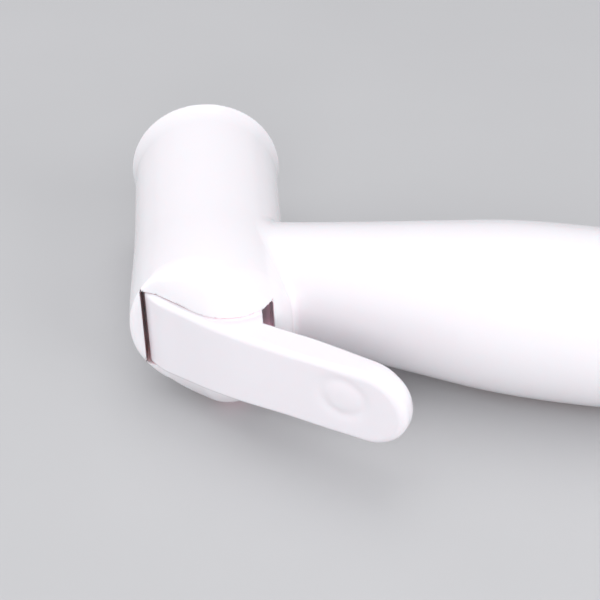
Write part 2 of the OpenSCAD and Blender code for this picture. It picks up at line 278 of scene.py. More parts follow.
def cell_quads(blocks, cells, inside, grid):
    """one quad round each grid edge that the surface crosses, facing outward"""
    def cell_key(cell):
        return (cell[:, 0] * (len(grid[1]) - 1) + cell[:, 1]) * (len(grid[2]) - 1) + cell[:, 2]

    keys = cell_key(blocks[cells[:, 0]] + cells[:, 1:])
    order = np.argsort(keys)
    keys = keys[order]
    quads = []
    for axis in range(3):
        low = [slice(None)] + [slice(0, BLOCK)] * 3
        high = list(low)
        high[axis + 1] = slice(1, BLOCK + 1)
        start_in, end_in = inside[tuple(low)], inside[tuple(high)]
        crossings = np.argwhere(start_in != end_in)
        starts_inside = start_in[tuple(crossings.T)]
        home = blocks[crossings[:, 0]] + crossings[:, 1:]
        u, v = [m for m in range(3) if m != axis]
        ring = []
        known = np.ones(len(home), bool)
        for du, dv in ((0, 0), (1, 0), (1, 1), (0, 1)):
            cell = home.copy()
            cell[:, u] -= du
            cell[:, v] -= dv
            key = cell_key(cell)
            place = np.clip(np.searchsorted(keys, key), 0, len(keys) - 1)
            ring.append(order[place])
            known &= keys[place] == key
        faces = np.stack(ring, 1)[known]
        flip = starts_inside[known] if axis == 1 else ~starts_inside[known]
        faces[flip] = faces[flip][:, ::-1]
        quads.append(faces)
    return np.concatenate(quads)


def surface_nets(field, grid, relax, last_pulls):
    """closed quad mesh of field = 0, evened out along the surface -> verts, quads, normals"""
    blocks, points, values = sample_blocks(field, grid)
    inside = values < 0
    cells, verts = cell_vertices(points, values, inside)
    quads = cell_quads(blocks, cells, inside, grid)
    verts = pull(field, verts, 2)
    start, end = np.concatenate([quads[:, [k, (k + 1) % 4]] for k in range(4)]).T
    neighbours = np.maximum(np.bincount(start, minlength=len(verts)), 1)
    for _ in range(relax):
        total = np.stack([np.bincount(start, verts[end, m], len(verts)) for m in range(3)], 1)
        move = (total / neighbours[:, None] - verts) * 0.5
        normal = gradient(field, verts)
        normal /= np.maximum(np.linalg.norm(normal, axis=1), 1e-6)[:, None]
        move -= normal * (move * normal).sum(1)[:, None]
        verts = pull(field, verts + move, 1)
    verts = pull(field, verts, last_pulls)
    used, quads = np.unique(quads, return_inverse=True)
    verts = verts[used]
    return verts, quads.reshape(-1, 4), gradient(field, verts)


def make_piece(node, slot, verts, faces, normals=None, body="shell"):
    """verts in row-frame metres; faces an (n, 4) array, or a list of mixed faces"""
    mesh = bpy.data.meshes.new(node + "_mesh")
    if isinstance(faces, np.ndarray):
        count = len(faces)
        mesh.vertices.add(len(verts))
        mesh.vertices.foreach_set("co", np.ascontiguousarray(verts, np.float32).ravel())
        mesh.loops.add(count * 4)
        mesh.loops.foreach_set("vertex_index", np.ascontiguousarray(faces, np.int32).ravel())
        mesh.polygons.add(count)
        starts = np.arange(0, count * 4, 4, dtype=np.int32)
        mesh.polygons.foreach_set("loop_start", starts)
        mesh.update(calc_edges=True)
    else:
        mesh.from_pydata([tuple(v) for v in verts], [], faces)
    mesh.validate()
    mesh.polygons.foreach_set("use_smooth", np.ones(len(mesh.polygons), bool))
    if normals is not None:
        lengths = np.maximum(np.linalg.norm(normals, axis=1), 1e-9)[:, None]
        mesh.normals_split_custom_set_from_vertices([tuple(v) for v in normals / lengths])
    mesh.update()
    piece = bpy.data.objects.new(node + "_mesh", mesh)
    bpy.context.scene.collection.objects.link(piece)
    piece.data.materials.append(MATERIALS[slot])
    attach(piece, body)
    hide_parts(node)
    return piece


def field_piece(node, slot, field, axes, body="shell", relax=2, last_pulls=3, in_grip=False):
    """mesh a field given in the head frame, or the grip frame; axes: (from, to, step[, fine])"""
    grid = [axis_steps(*axis) for axis in axes]
    verts, quads, normals = surface_nets(field, grid, relax, last_pulls)
    if not in_grip:
        verts, normals = turn_head(verts), turn_head(normals)
    make_piece(node, slot, grip_to_row(verts), quads, normals, body)


# ------------------------------------------------------------------ turned rings and springs
def round_profile(corners):
    """closed outline of (rho, along, corner radius) -> points with rolled corners"""
    out = []
    for i, (*corner, radius) in enumerate(corners):
        corner = np.array(corner, float)
        before = np.array(corners[i - 1][:2], float) - corner
        after = np.array(corners[(i + 1) % len(corners)][:2], float) - corner
        before_len, after_len = np.linalg.norm(before), np.linalg.norm(after)
        before, after = before / before_len, after / after_len
        angle = math.acos(max(-1.0, min(1.0, float(before @ after))))
        if radius <= 0 or angle > math.pi - 0.04:
            out.append(corner)
            continue
        setback = min(radius / math.tan(angle / 2), 0.42 * before_len, 0.42 * after_len)
        fitted = setback * math.tan(angle / 2)
        bisector = (before + after) / np.linalg.norm(before + after)
        centre = corner + bisector * fitted / math.sin(angle / 2)
        first = corner + before * setback - centre
        last = corner + after * setback - centre
        start = math.atan2(first[1], first[0])
        sweep = math.atan2(last[1], last[0]) - start
        sweep = (sweep + math.pi) % (2 * math.pi) - math.pi
        steps = max(3, math.ceil(abs(sweep) / 0.3))
        # an extra loop on each long side keeps the shading flat up to the corner
        if before_len - setback > 0.5:
            out.append(corner + before * (setback + 0.1))
        for j in range(steps + 1):
            th = start + sweep * j / steps
            out.append(centre + fitted * np.array([math.cos(th), math.sin(th)]))
        if after_len - setback > 0.5:
            out.append(corner + after * (setback + 0.1))
    return np.array(out)


def lathe_piece(node, profile, radius_at=None, segments=160):
    """ring of revolution about the grip; radius_at(rho, along, angle) may change rho"""
    count = len(profile)
    angles = np.repeat((np.arange(segments) * 2 * np.pi / segments)[None, :], count, 0)
    rho = np.repeat(profile[:, 0][:, None], segments, 1)
    along = np.repeat(profile[:, 1][:, None], segments, 1)
    if radius_at is not None:
        rho = radius_at(rho, along, angles)
    points = np.stack([along, rho * np.cos(angles), rho * np.sin(angles)], 2).reshape(-1, 3)
    verts = grip_to_row(points)
    i, j = (n.ravel() for n in np.meshgrid(np.arange(count), np.arange(segments), indexing="ij"))
    i2, j2 = (i + 1) % count, (j + 1) % segments
    row, row2 = i * segments, i2 * segments
    quads = np.stack([row + j, row2 + j, row2 + j2, row + j2], 1)
    # faces look outward when the closed mesh has a positive volume
    a, b, c, d = (verts[quads[:, k]] for k in range(4))
    volume = (np.einsum("ij,ij->i", a, np.cross(b, c)).sum()
              + np.einsum("ij,ij->i", a, np.cross(c, d)).sum())
    make_piece(node, "white_shell", verts, quads if volume > 0 else quads[:, ::-1])


DEAD_TURNS = 0.8                # closed, level turns at each end of a spring
DEAD_PITCH = 2.05               # rise of a closed turn, in wire radii
WIRE_CAP = ((0.0, 0.93), (0.192, 0.71), (0.324, 0.4))   # shift and ring size, in wire radii
WIRE_TIP = 0.372


def spring_wire(coil_r, wire_r, height, turns, per_turn=64, sides=14):
    """closed wire that winds up its own z from 0 to height"""
    count = int(per_turn * turns)
    turn = np.arange(count + 1) / count * turns
    dead_rise = DEAD_PITCH * wire_r
    low = dead_rise * np.clip(turn, 0, DEAD_TURNS)
    live = np.clip(turn - DEAD_TURNS, 0, turns - 2 * DEAD_TURNS)
    top = dead_rise * np.clip(turn - (turns - DEAD_TURNS), 0, DEAD_TURNS)
    rise = height - 2 * wire_r - 2 * dead_rise * DEAD_TURNS
    z = wire_r + low + rise * live / (turns - 2 * DEAD_TURNS) + top
    angle = 2 * np.pi * turn
    line = np.stack([coil_r * np.cos(angle), coil_r * np.sin(angle), z], 1)
    tangent = np.gradient(line, axis=0)
    tangent /= np.linalg.norm(tangent, axis=1)[:, None]
    normal = np.stack([np.cos(angle), np.sin(angle), np.zeros_like(angle)], 1)
    normal -= tangent * (tangent * normal).sum(1)[:, None]
    normal /= np.linalg.norm(normal, axis=1)[:, None]
    binormal = np.cross(tangent, normal)
    around = (np.arange(sides) * 2 * np.pi / sides)[:, None]

    def ring(i, shift=0.0, size=1.0):
        circle = np.cos(around) * normal[i] + np.sin(around) * binormal[i]
        return line[i] + tangent[i] * wire_r * shift + wire_r * size * circle

    parts = [(line[0] - tangent[0] * wire_r * WIRE_TIP)[None]]
    parts += [ring(0, -shift, size) for shift, size in reversed(WIRE_CAP)]
    parts += [ring(i) for i in range(count + 1)]
    parts += [ring(count, shift, size) for shift, size in WIRE_CAP]
    parts.append((line[count] + tangent[count] * wire_r * WIRE_TIP)[None])
    points = np.concatenate(parts)

    faces = [(0, 1 + (j + 1) % sides, 1 + j) for j in range(sides)]
    rings = (len(points) - 2) // sides
    for i in range(rings - 1):
        for j in range(sides):
            a, b = 1 + i * sides + j, 1 + i * sides + (j + 1) % sides
            faces.append((a, b, b + sides, a + sides))
    tip = len(points) - 1
    last = 1 + (rings - 1) * sides
    faces += [(tip, last + j, last + (j + 1) % sides) for j in range(sides)]
    # faces look outward when the volume under them is positive
    a, b, c = (points[[f[k] for f in faces]] - points.mean(0) for k in range(3))
    if np.einsum("ij,ij->i", a, np.cross(b, c)).sum() < 0:
        faces = [f[::-1] for f in faces]
    return points, faces


def spring_piece(node, slide, place, axis, anchor, travel, height, **wire):
    """spring wound to the given height and set in place; slide, axis, anchor and travel are not
    used
    """
    points, faces = spring_wire(height=height, **wire)
    piece = make_piece(node, "spring_steel", place(points), faces)
    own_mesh(piece)


# ------------------------------------------------------------------ material helpers
def set_inputs(tree, node, inputs):
    """link or set each input, by name or index"""
    for key, value in inputs.items():
        if isinstance(value, bpy.types.NodeSocket):
            tree.links.new(value, node.inputs[key])
        else:
            node.inputs[key].default_value = value


def add_node(tree, kind, inputs, **settings):
    node = tree.nodes.new("ShaderNode" + kind)
    for key, value in settings.items():
        setattr(node, key, value)
    set_inputs(tree, node, inputs)
    return node


def new_material(name):
    mat = bpy.data.materials.new(name)
    mat.use_nodes = True
    tree = mat.node_tree
    tree.nodes.clear()
    output = tree.nodes.new("ShaderNodeOutputMaterial")
    bsdf = tree.nodes.new("ShaderNodeBsdfPrincipled")
    tree.links.new(bsdf.outputs["BSDF"], output.inputs["Surface"])
    return mat, tree, bsdf


def object_coord(tree):
    return add_node(tree, "TexCoord", {}).outputs["Object"]


def noise(tree, coord, scale, detail=4.0, rough=0.5, distortion=0.0):
    return add_node(tree, "TexNoise", {
        "Scale": scale, "Detail": detail, "Roughness": rough,
        "Distortion": distortion, "Vector": coord}).outputs["Fac"]


def ramp(tree, fac, stops):
    """stops: (position, colour)"""
    node = add_node(tree, "ValToRGB", {"Fac": fac})
    elements = node.color_ramp.elements
    while len(elements) > 1:
        elements.remove(elements[-1])
    elements[0].position, elements[0].color = stops[0][0], (*stops[0][1], 1)
    for position, colour in stops[1:]:
        elements.new(position).color = (*colour, 1)
    return node.outputs["Color"]


def remap(tree, value, to, source=(0.0, 1.0)):
    return add_node(tree, "MapRange", {
        "From Min": source[0], "From Max": source[1],
        "To Min": to[0], "To Max": to[1], "Value": value}).outputs["Result"]


def openness(tree):
    """1 in the open, 0 deep in a gap"""
    return add_node(tree, "AmbientOcclusion", {"Distance": 0.004}, samples=6).outputs["AO"]


def bump(tree, bsdf, height, strength, distance):
    node = add_node(tree, "Bump", {
        "Strength": strength, "Distance": distance, "Height": height})
    tree.links.new(node.outputs["Normal"], bsdf.inputs["Normal"])


NOISE_BAND = (0.3, 0.7)         # where most of a noise texture's values lie


# ------------------------------------------------------------------ materials
def white_plastic(name, base, rough):
    mat, tree, bsdf = new_material(name)
    coord = object_coord(tree)
    cloud = noise(tree, coord, scale=38.0, detail=3.0, rough=0.55)
    colour = ramp(tree, cloud, [(0.3, tuple(c * 0.985 for c in base)), (0.7, base)])
    # painted shade: narrow gaps, found by ambient occlusion, are tinted a darker warm pink
    gap_shade = remap(tree, openness(tree), to=(0.8, 0.0), source=(0.0, 0.4))
    # inputs 6 and 7 are the colours A and B, output 2 is the mixed colour
    mix = add_node(tree, "Mix", {"Factor": gap_shade, 6: colour, 7: (0.66, 0.36, 0.37, 1)},
                   data_type="RGBA")
    fine = noise(tree, coord, scale=620.0, detail=2.0)
    wear = noise(tree, coord, scale=90.0, detail=5.0, rough=0.6, distortion=0.3)
    roughness = add_node(tree, "Math", {
        0: remap(tree, wear, to=(rough - 0.03, rough + 0.05), source=NOISE_BAND),
        1: remap(tree, fine, to=(-0.015, 0.015))}, operation="ADD")
    set_inputs(tree, bsdf, {
        "Base Color": mix.outputs[2],
        "Roughness": roughness.outputs[0],
        "IOR": 1.52,
        "Subsurface Weight": 0.25,
        "Subsurface Radius": (1.0, 0.5, 0.5),
        "Subsurface Scale": 0.0022,
        "Coat Weight": 0.25,
        "Coat Roughness": 0.08})
    # flow waviness of a moulded skin (6 times as high), plus the fine grain
    waves = noise(tree, coord, scale=26.0, detail=2.0, rough=0.4)
    height = add_node(tree, "Math", {0: waves, 1: 6.0, 2: fine}, operation="MULTIPLY_ADD")
    bump(tree, bsdf, height.outputs[0], strength=0.25, distance=0.00002)
    return mat


def paint_gap_glow(mat, x_range, colour, power):
    """painted glow: emission in deep gaps, over a range of the row's X, stands in for light through
    the wall
    """
    tree = mat.node_tree
    bsdf = next(node for node in tree.nodes if node.type == "BSDF_PRINCIPLED")
    split = add_node(tree, "SeparateXYZ", {0: object_coord(tree)})
    black, white = (0, 0, 0), (1, 1, 1)
    along = ramp(tree, remap(tree, split.outputs[0], to=(0.0, 1.0), source=x_range),
                 [(0.0, black), (0.12, white), (0.6, white), (0.98, black)])
    depth = remap(tree, openness(tree), to=(power, 0.0), source=(0.0, 0.7))
    painted_glow_strength = add_node(tree, "Math", {0: along, 1: depth}, operation="MULTIPLY")
    set_inputs(tree, bsdf, {
        "Emission Color": (*colour, 1), "Emission Strength": painted_glow_strength.outputs[0]})


def satin_plastic(name, base, rough):
    mat, tree, bsdf = new_material(name)
    coord = object_coord(tree)
    cloud = noise(tree, coord, scale=120.0, rough=0.6)
    colour = ramp(tree, cloud, [(0.3, tuple(c * 0.93 for c in base)), (0.7, base)])
    wear = noise(tree, coord, scale=300.0)
    set_inputs(tree, bsdf, {
        "Base Color": colour,
        "Roughness": remap(tree, wear, to=(rough - 0.06, rough + 0.08), source=NOISE_BAND),
        "Subsurface Weight": 0.08,
        "Subsurface Scale": 0.001})
    grain = noise(tree, coord, scale=900.0, detail=2.0)
    bump(tree, bsdf, grain, strength=0.3, distance=0.00003)
    return mat


def rubber(name):
    mat, tree, bsdf = new_material(name)
    coord = object_coord(tree)
    cloud = noise(tree, coord, scale=400.0, detail=5.0, rough=0.7)
    colour = ramp(tree, cloud, [(0.3, (0.016, 0.016, 0.017)), (0.72, (0.04, 0.04, 0.042))])
    wear = noise(tree, coord, scale=250.0)
    set_inputs(tree, bsdf, {
        "Base Color": colour,
        "Roughness": remap(tree, wear, to=(0.42, 0.68), source=NOISE_BAND)})
    grain = noise(tree, coord, scale=1500.0, detail=3.0)
    bump(tree, bsdf, grain, strength=0.4, distance=0.00002)
    return mat


def steel(name, base, rough):
    mat, tree, bsdf = new_material(name)
    drawn = add_node(tree, "Mapping", {"Scale": (1.0, 1.0, 14.0), "Vector": object_coord(tree)})
    grain = noise(tree, drawn.outputs["Vector"], scale=700.0, rough=0.6)
    colour = ramp(tree, grain, [(0.3, (base * 0.9,) * 3), (0.7, (base, base, base * 1.02))])
    set_inputs(tree, bsdf, {
        "Base Color": colour,
        "Metallic": 1.0,
        "Roughness": remap(tree, grain, to=(rough - 0.08, rough + 0.12), source=NOISE_BAND)})
    bump(tree, bsdf, grain, strength=0.25, distance=0.00002)
    return mat


MATERIALS = {
    "white_shell": white_plastic("shell_plastic", base=(0.885, 0.858, 0.888), rough=0.16),
    "white_face": white_plastic("face_plastic", base=(0.86, 0.838, 0.862), rough=0.24),
    "white_lever": white_plastic("lever_plastic", base=(0.87, 0.84, 0.878), rough=0.2),
    "ivory_plastic": satin_plastic("acetal", base=(0.78, 0.765, 0.7), rough=0.42),
    "pale_blue_plastic": satin_plastic("cartridge_plastic", base=(0.6, 0.69, 0.79), rough=0.38),
    "black_rubber": rubber("seal_rubber"),
    "stainless": steel("stainless", base=0.62, rough=0.24),
    "spring_steel": steel("spring_wire", base=0.52, rough=0.2),
}
# painted glow in the gaps round the lever's slot, on the shell's plastic
paint_gap_glow(MATERIALS["white_shell"], x_range=(-0.138, -0.098), colour=(1.0, 0.48, 0.64),
          power=0.46)

for subpart in frame["record"]["subparts"]:
    part = frame["nodes"].get(subpart["node"])
    if part is None:
        continue
    part_material = MATERIALS[subpart["material_slot"]]
    if len(part.material_slots):
        for part_slot in part.material_slots:
            part_slot.link = "OBJECT"
            part_slot.material = part_material
    else:
        part.data.materials.append(part_material)

# ------------------------------------------------------------------ shell
# outlines: stations along the axis, then the radii there
LIP_START, NECK_R = 34.5, 15.75
HEAD_PROFILE = smooth_profile([-32, -22, -17, -12, -6, 3, 14, 28, LIP_START],
                              [15.6, 16.05, 16.3, 16.35, 16.2, 15.85, 15.65, 15.7, NECK_R])
GRIP_PROFILE = smooth_profile([0, 12, 30, 45, 60, 75, 90, 105, 118, 126],
                              [11.3, 11.7, 13.6, 15.45, 17.15, 17.6, 17.1, 15.9, 14.7, 14.2])
GRIP_SHELL_END = 126
RIM_Y, LIP_R = 41.5, 16.5
FLARE_LENGTH, FLARE_POWER = 6.2, 2.2
RECESS_R, RECESS_Y = 14, 36.5   # seat of the spray plate
PIVOT = (-9.3, -14.0)           # hinge pin's axis in x and y
PIN_R = 1.5
PIN_HOLE_TOP = 10.5             # in z
SLOT_X, SLOT_HALF_Z, SLOT_TOP = (-13.6, 11.95), 8.84, -9.5

# end of the head at -y: two sloping planes joined by an arc
APEX_Y, ARC_X, ARC_R = -29.31, 3.72, 10.04
SLOPE_HINGE, SLOPE_FAR = math.radians(42.8), math.radians(45.4)
FOOT_X, FOOT_Y = -10.2, -18.26
# the end's crown and rolled edge change between these x, from the hinge side to the far side
END_BLEND_X = (-17.7, 6.0)
CROWN_HINGE, CROWN_FAR = 0.45, 0.89
ROLL_HINGE, ROLL_FAR = 0.88, 2.67
CROWN_DROP, CROWN_POWER = 5.9, 1.94
CROWN_Z, CROWN_REACH = 4.84, 11.2       # where the crown starts, and its width

# radius, from, to
HEAD_BORES = ((3.2, -10.5, -7.9), (9, -8, 8.2), (10.5, 8, 16.2), (11.8, 16, 22.2), (12.8, 22, 36.7))
GRIP_BORES = ((2.6, 7.5, 19.1), (5, 19, 30.1))
HOLLOW_START = 30
HOLLOW_STATIONS = [HOLLOW_START, 45, 118, 118.01, 140]
HOLLOW_RADII = [10.2, 11.9, 11.9, 12.2, 12.2]


def across_end(x, hinge, far):
    share = unit((x - END_BLEND_X[0]) / (END_BLEND_X[1] - END_BLEND_X[0]))
    return hinge + (far - hinge) * ease(share)


def end_field(x, y, z):
    """rounded wedge that closes the head's end, crowned from side to side"""
    across, up = x - ARC_X, y - (APEX_Y + ARC_R)
    hinge_plane = -across * math.sin(SLOPE_HINGE) - up * math.cos(SLOPE_HINGE) - ARC_R
    far_plane = across * math.sin(SLOPE_FAR) - up * math.cos(SLOPE_FAR) - ARC_R
    end = both(hinge_plane, far_plane, roll=ARC_R)
    # square foot of the wall beside the hinge
    end = either(end, np.maximum(FOOT_Y - y, x - FOOT_X), fillet=1.5)
    drop = CROWN_DROP * across_end(x, CROWN_HINGE, CROWN_FAR)
    share = np.maximum(np.abs(z) - CROWN_Z, 0) / CROWN_REACH
    slope = drop * CROWN_POWER / CROWN_REACH * share ** (CROWN_POWER - 1)
    return (end + drop * share ** CROWN_POWER) / np.sqrt(1 + slope ** 2)


def head_side(rho, y):
    """side wall, with a lip that flares towards the spray face"""
    radius, slope = profile_at(HEAD_PROFILE, y)
    share = unit((y - LIP_START) / FLARE_LENGTH)
    flare = LIP_R - NECK_R
    radius = radius + flare * share ** FLARE_POWER
    slope = slope + (flare * FLARE_POWER / FLARE_LENGTH * share ** (FLARE_POWER - 1)
                     * (share < 1))
    return turned(rho, radius, slope)


def from_pivot(x, y):
    return np.hypot(x - PIVOT[0], y - PIVOT[1])


def shell_field(points):
    x, y, z = points.T
    rho = np.sqrt(x * x + z * z)
    solid = both(head_side(rho, y), end_field(x, y, z),
                 roll=across_end(x, ROLL_HINGE, ROLL_FAR))
    along = x * COS_LEAN - y * SIN_LEAN
    aside = x * SIN_LEAN + y * COS_LEAN
    grip_rho = np.sqrt(aside * aside + z * z)
    grip = both(turned(grip_rho, *profile_at(GRIP_PROFILE, along)),
                span(along, 0, GRIP_SHELL_END), roll=0.25)
    solid = either(solid, grip, fillet=1.3)
    solid = both(solid, y - RIM_Y, roll=0.55)
    # lever slot
    slot = box_field((x, z), (SLOT_X[0], -SLOT_HALF_Z), (SLOT_X[1], SLOT_HALF_Z), roll=0.6)
    solid = cut(solid, both(slot, y - SLOT_TOP, roll=0.4), roll=0.2)
    # hinge pin hole
    solid = cut(solid, np.maximum(from_pivot(x, y) - PIN_R, z - PIN_HOLE_TOP), roll=0.12)
    for bore in HEAD_BORES:
        solid = np.maximum(solid, -cylinder(rho, y, *bore))
    solid = cut(solid, np.maximum(rho - RECESS_R, RECESS_Y - y), roll=0.3)
    # port, tube socket and hollow of the grip
    for bore in GRIP_BORES:
        solid = np.maximum(solid, -cylinder(grip_rho, along, *bore))
    hollow = grip_rho - np.interp(along, HOLLOW_STATIONS, HOLLOW_RADII)
    return np.maximum(solid, -np.maximum(hollow, HOLLOW_START - along))


field_piece("body_shell", "white_shell", shell_field, (
    (-18.2, 135.0, 0.62 * GRID_SCALE, (-16.5, 15.5, 0.3 * GRID_SCALE)),
    (-60.0, 43.0, 0.6 * GRID_SCALE, (-30.0, -9.0, 0.28 * GRID_SCALE)),
    (-18.9, 18.9, 0.5 * GRID_SCALE)))

# ------------------------------------------------------------------ lever
# The blade's outer face runs straight from BLADE_START, down its slope towards +x and -y;
# "along" is measured down the blade and "depth" from its outer face towards the head.
BLADE_SLOPE = math.radians(32.0)
BLADE_START = np.array([-1.6, -29.24])
BLADE_DIR = np.array([math.cos(BLADE_SLOPE), -math.sin(BLADE_SLOPE)])
BLADE_IN = np.array([math.sin(BLADE_SLOPE), math.cos(BLADE_SLOPE)])
TIP_ALONG, TIP_R = 42.05, 8.05
TIP_ARC = TIP_ALONG - TIP_R
BLADE_HALF, ROOT_EXTRA = 7.45, 1.33     # half width of the blade, and what its root adds
WALL, FACE_WALL = 1.7, 1.9
THUMB_ALONG, THUMB_Z, THUMB_R = 29.2, 1.25, 3.9
THUMB_STRETCH = 1.12            # length of the thumb spot over its width
CHEEK_GAP = 0.09                # between cheek and slot
CHEEK_END_X = 10.4
HOLLOW_X = -5.4                 # the hollow starts here
HINGE_SIDE_X = -12.88
CORE_LOW, CORE_HIGH = (-3, -40, -4.5), (3, -17.75, 4.5)     # block left solid in the hollow
RIB_START, RIB_END, RIB_DEPTH, RIB_HALF = 2, TIP_ARC + 5, 4.6, 0.7


def on_blade(along, depth):
    return BLADE_START + along * BLADE_DIR + depth * BLADE_IN


def smooth_line(points, per=6):
    """Catmull-Rom curve through the points"""
    points = [np.array(p, float) for p in points]
    out = []
    for i in range(len(points) - 1):
        p0, p1, p2 = points[max(i - 1, 0)], points[i], points[i + 1]
        p3 = points[min(i + 2, len(points) - 1)]
        for k in range(per):
            u = k / per
            out.append(0.5 * ((2 * p1) + (-p0 + p2) * u + (2 * p0 - 5 * p1 + 4 * p2 - p3) * u**2
                              + (-p0 + 3 * p1 - 3 * p2 + p3) * u**3))
    out.append(points[-1])
    return out


# x, y from the hinge side down to the blade
FACE_LINE = smooth_line([
    (HINGE_SIDE_X, -17.5), (-11.6, -19.6), (-9.8, -21.7), (-7, -24.1), (-4.3, -26.4),
    (-1.6, -28.65), (2.4, -31.6), (5.1, -33.4), on_blade(12, 0)])
FACE_OUTLINE = [(HINGE_SIDE_X, 20), *FACE_LINE, on_blade(90, 0), on_blade(90, 60)]
BACK_OUTLINE = [
    (HINGE_SIDE_X, -60), (HINGE_SIDE_X, -14), (-12.3, -12.2), (-11.0, -11.0), (-9.3, -10.6),
    (-7.4, -11.2), (9.6, -18.2), (9.8, -29.1),
    on_blade(14.6, 6.3), on_blade(90, 7.8), on_blade(90, -60)]


def blade_half_width(along):
    return (BLADE_HALF + ROOT_EXTRA * unit((30 - along) / 42) ** 1.15
            + (TIP_R - BLADE_HALF) * unit((along - 17) / 16))


def thumb_relief(radius):
    """height of the thumb spot over the lever's face: a low button in a ring groove"""
    return (0.17 * np.exp(-(radius / 2.6) ** 3)
            - 0.25 * np.exp(-((radius - THUMB_R) / 1.1) ** 2))


def lever_field(points):
    x, y, z = points.T
    across, up = x - BLADE_START[0], y - BLADE_START[1]
    along = across * BLADE_DIR[0] + up * BLADE_DIR[1]
    depth = across * BLADE_IN[0] + up * BLADE_IN[1]
    face = polygon_field(x, y, FACE_OUTLINE)
    back = polygon_field(x, y, BACK_OUTLINE)
    half = blade_half_width(along)
    # shoulder of the cheeks, just inside the slot
    gap_shade = (unit((0.1 - end_field(x, y, np.full_like(x, SLOT_HALF_Z))) / 0.6)
            * unit((CHEEK_END_X - x) / 0.5))
    half = half + np.maximum(SLOT_HALF_Z - CHEEK_GAP - half, 0) * ease(gap_shade)
    plan = np.where(along > TIP_ARC, np.sqrt((along - TIP_ARC) ** 2 + z * z) - TIP_R,
                    np.abs(z) - half)
    thumb = np.sqrt(((along - THUMB_ALONG) / THUMB_STRETCH) ** 2 + (z - THUMB_Z) ** 2)
    face = face - thumb_relief(thumb) * np.exp(-np.maximum(depth, 0) ** 2 / 1.5)
    # both edges roll more towards the tip
    back_roll = 0.35 + 3.9 * unit((along - 18) / 20) ** 1.4
    face_roll = 1.1 + 0.7 * unit((along - 26) / 12)
    solid = both(both(plan, face, face_roll), back, back_roll)
    hollow = both(both(plan + WALL, face + FACE_WALL, roll=0.8), HOLLOW_X - x, roll=0.4)
    hollow = np.maximum(hollow, -box_field((x, y, z), CORE_LOW, CORE_HIGH))
    rib = np.maximum(np.maximum(span(along, RIB_START, RIB_END), depth - RIB_DEPTH),
                     np.abs(z) - RIB_HALF)
    hollow = cut(hollow, rib, roll=0.3)
    solid = cut(solid, hollow, roll=0.35)
    return cut(solid, from_pivot(x, y) - (PIN_R + 0.05), roll=0.15)


field_piece("lever", "white_lever", lever_field, (
    (-13.6, 38.0, 0.34 * GRID_SCALE), (-60.0, -9.5, 0.34 * GRID_SCALE),
    (-9.4, 9.4, 0.34 * GRID_SCALE)), body="lever")

# ------------------------------------------------------------------ spray face
PLATE_R, PLATE_BACK, PLATE_FACE = 13.9, 36.55, 40.5
PLATE_RINGS = [(4 + 4 * k, 2.2 + 2.7 * k, math.radians(7 * k)) for k in (1, 2, 3)]
GROOVE_RADII = (3.55, 6.25, 8.95, 11.9)
NOZZLE_R, NOZZLE_TOP, SPRAY_HOLE_R = 1.0, 40.95, 0.55
SCREW_HOLE_R, HEAD_HOLE_R, HEAD_HOLE_FLOOR = 1.6, 2.9, 39.3


def plate_field(points):
    x, y, z = points.T
    rho = np.sqrt(x * x + z * z)
    hole = nearest_hole(rho, np.arctan2(-z, x), PLATE_RINGS)
    groove = sum(0.16 * np.exp(-((rho - radius) / 0.3) ** 2) for radius in GROOVE_RADII)
    thickness = span(y, PLATE_BACK, PLATE_FACE) + np.where(y > 38.5, groove, 0)
    solid = both(rho - PLATE_R, thickness, roll=0.4)
    nozzles = both(hole - NOZZLE_R, span(y, 39.5, NOZZLE_TOP), roll=0.22)
    solid = either(solid, nozzles, fillet=0.25)
    # hollow behind the face, and a groove round the edge
    solid = cut(solid, np.maximum(rho - 12.6, y - 38), roll=0.2)
    solid = cut(solid, np.maximum(12.5 - rho, span(y, 38.6, 40.0)), roll=0.1)
    solid = cut(solid, hole - SPRAY_HOLE_R, roll=0.12)
    solid = cut(solid, rho - SCREW_HOLE_R, roll=0.1)
    return cut(solid, both(rho - HEAD_HOLE_R, HEAD_HOLE_FLOOR - y, roll=0.05), roll=0.15)


PLATE_AXIS = (-14.5, 14.5, 0.25 * GRID_SCALE)
field_piece("spray_plate", "white_face", plate_field,
            (PLATE_AXIS, (36.0, 41.4, 0.22 * GRID_SCALE), PLATE_AXIS), relax=1, last_pulls=2)

SCREW_TOP, SCREW_HEAD_R, SCREW_HEAD_BASE = 40.6, 2.7, 39.35
SHANK_R, SHANK_END, SCREW_PITCH, SCREW_THREAD_DEPTH = 1.38, 28.0, 0.8, 0.2
CROSS_LENGTH, CROSS_WIDTH, CROSS_FLOOR = 1.45, 0.27, 39.75  # half sizes of an arm


def screw_field(points):
    x, y, z = points.T
    rho = np.sqrt(x * x + z * z)
    dome = both(rho - SCREW_HEAD_R, y - (SCREW_TOP - 0.07 * rho * rho), roll=0.25)
    solid = both(dome, SCREW_HEAD_BASE - y, roll=0.08)
    turn = (y / SCREW_PITCH - np.arctan2(-z, x) / (2 * np.pi)) % 1.0
    thread = SCREW_THREAD_DEPTH * np.abs(2 * turn - 1) * unit((38.2 - y) / 0.4)
    shank = both(both(rho - SHANK_R + thread, y - 39.6), SHANK_END - y, roll=0.3)
    solid = either(solid, shank, fillet=0.1)
    cross = np.minimum(*(both(np.abs(a) - CROSS_LENGTH, np.abs(b) - CROSS_WIDTH, roll=0.05)
                         for a, b in ((x, z), (z, x))))
    # the arms narrow with depth
    recess = np.maximum(cross + 0.075 * (SCREW_TOP - y), CROSS_FLOOR - y)
    return cut(solid, recess, roll=0.06)


SCREW_AXIS = (-2.95, 2.95, 0.15 * GRID_SCALE)
field_piece("face_screw", "stainless", screw_field,
            (SCREW_AXIS, (27.6, 41.0, 0.13 * GRID_SCALE), SCREW_AXIS), relax=1, last_pulls=2)


# ------------------------------------------------------------------ hinge pin
def pin_field(points):
    x, y, z = points.T
    return both(from_pivot(x, y) - PIN_R, span(z, -12.4, 10.4), roll=0.45)


